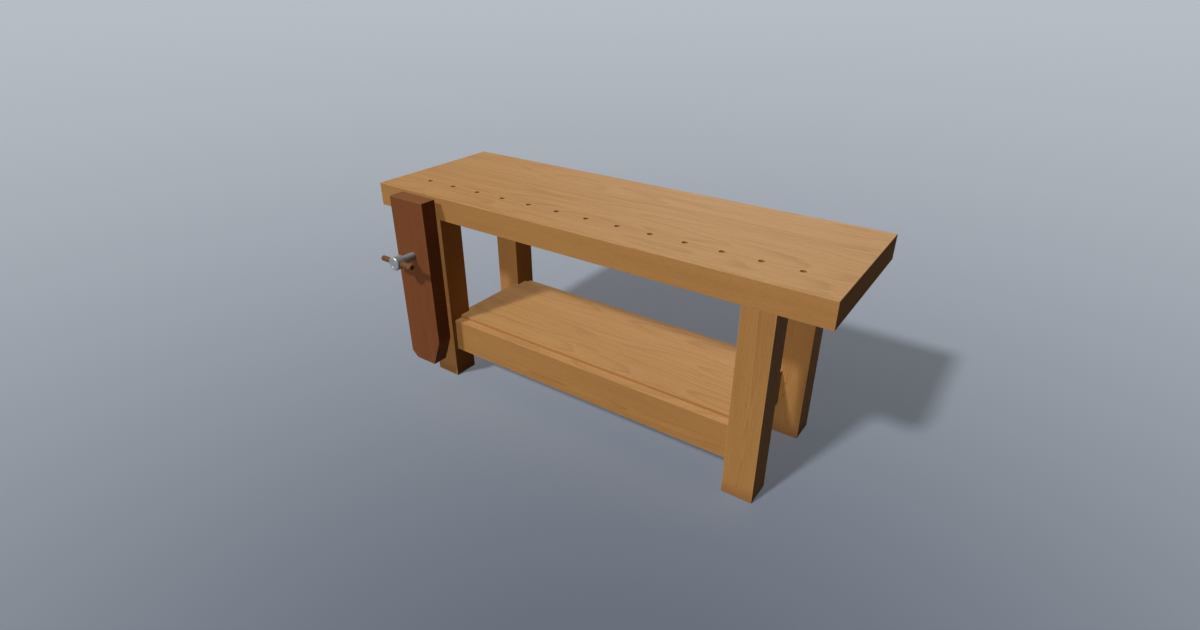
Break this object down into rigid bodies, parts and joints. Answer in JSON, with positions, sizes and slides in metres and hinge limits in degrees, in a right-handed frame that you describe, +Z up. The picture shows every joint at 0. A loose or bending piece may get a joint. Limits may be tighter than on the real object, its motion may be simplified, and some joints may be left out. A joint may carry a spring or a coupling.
{
  "type": "woodworking bench with leg vise",
  "caption": "Heavy wooden workbench with a thick slab top, a row of dog holes, a low shelf between stretchers and a screw-driven leg vise at the front left.",
  "frame": {"origin": "on the floor, under the middle of the bench with its vise as it rests", "axes": "+X along the bench to the right as seen from the vise side, +Y from front to back, +Z up"},
  "size_m": [2, 0.848, 0.862],
  "materials": {
    "bench_wood": "planed and oiled light hardwood",
    "chop_wood": "planed and oiled dark hardwood",
    "handle_wood": "turned hardwood, polished by hands",
    "peg_wood": "riven hardwood pegs, end grain showing",
    "steel": "machined steel, lightly oiled",
    "cast_iron": "dark grey casting"
  },
  "bodies": {
    "bench": {"bench_top": "bench_wood", "leg_front_left": "bench_wood", "leg_front_right": "bench_wood", "leg_back_left": "bench_wood", "leg_back_right": "bench_wood", "stretcher_front": "bench_wood", "stretcher_back": "bench_wood", "end_rail_left": "bench_wood", "end_rail_right": "bench_wood", "shelf_panel": "bench_wood", "shelf_ledger_front": "bench_wood", "shelf_ledger_back": "bench_wood", "stretcher_peg_front_left_1": "peg_wood", "stretcher_peg_front_left_2": "peg_wood", "stretcher_peg_front_right_1": "peg_wood", "stretcher_peg_front_right_2": "peg_wood", "stretcher_peg_back_left_1": "peg_wood", "stretcher_peg_back_left_2": "peg_wood", "stretcher_peg_back_right_1": "peg_wood", "stretcher_peg_back_right_2": "peg_wood", "rail_peg_front_left": "peg_wood", "rail_peg_front_right": "peg_wood", "rail_peg_back_left": "peg_wood", "rail_peg_back_right": "peg_wood", "ledger_screw_front_1": "steel", "ledger_screw_front_2": "steel", "ledger_screw_front_3": "steel", "ledger_screw_front_4": "steel", "ledger_screw_back_1": "steel", "ledger_screw_back_2": "steel", "ledger_screw_back_3": "steel", "ledger_screw_back_4": "steel", "vise_nut": "cast_iron", "nut_screw_1": "steel", "nut_screw_2": "steel", "nut_screw_3": "steel", "nut_screw_4": "steel"},
    "chop": {"vise_chop": "chop_wood", "parallel_guide": "chop_wood", "guide_peg": "peg_wood", "garter_lower": "steel", "garter_upper": "steel", "garter_screw_1": "steel", "garter_screw_2": "steel", "garter_screw_3": "steel", "garter_screw_4": "steel"},
    "screw": {"vise_screw": "steel", "screw_hub": "steel", "hub_pin": "steel"},
    "handle": {"vise_handle": "handle_wood", "handle_stop_pin_left": "steel", "handle_stop_pin_right": "steel"},
    "guide_pin": {"guide_pin": "steel"}
  },
  "joints": [
    {"name": "chop_slide", "type": "slide", "parent": "bench", "child": "chop", "axis": [0, -1, 0], "range_m": [-0.0245, 0.075]},
    {"name": "screw_turn", "type": "hinge", "parent": "chop", "child": "screw", "pos_m": [-0.7285, -0.403, 0.615], "axis": [0, -1, 0], "range_deg": [-735.5, 2250.5]},
    {"name": "handle_slide", "type": "slide", "parent": "screw", "child": "handle", "axis": [1, 0, 0], "range_m": [-0.045, 0.045]},
    {"name": "guide_pin_pull", "type": "slide", "parent": "chop", "child": "guide_pin", "axis": [-1, 0, 0], "range_m": [0, 0.06]}
  ],
  "couplings": [
    {"joint": "screw_turn", "follows": "chop_slide", "rad_per_m": 523.6}
  ]
}
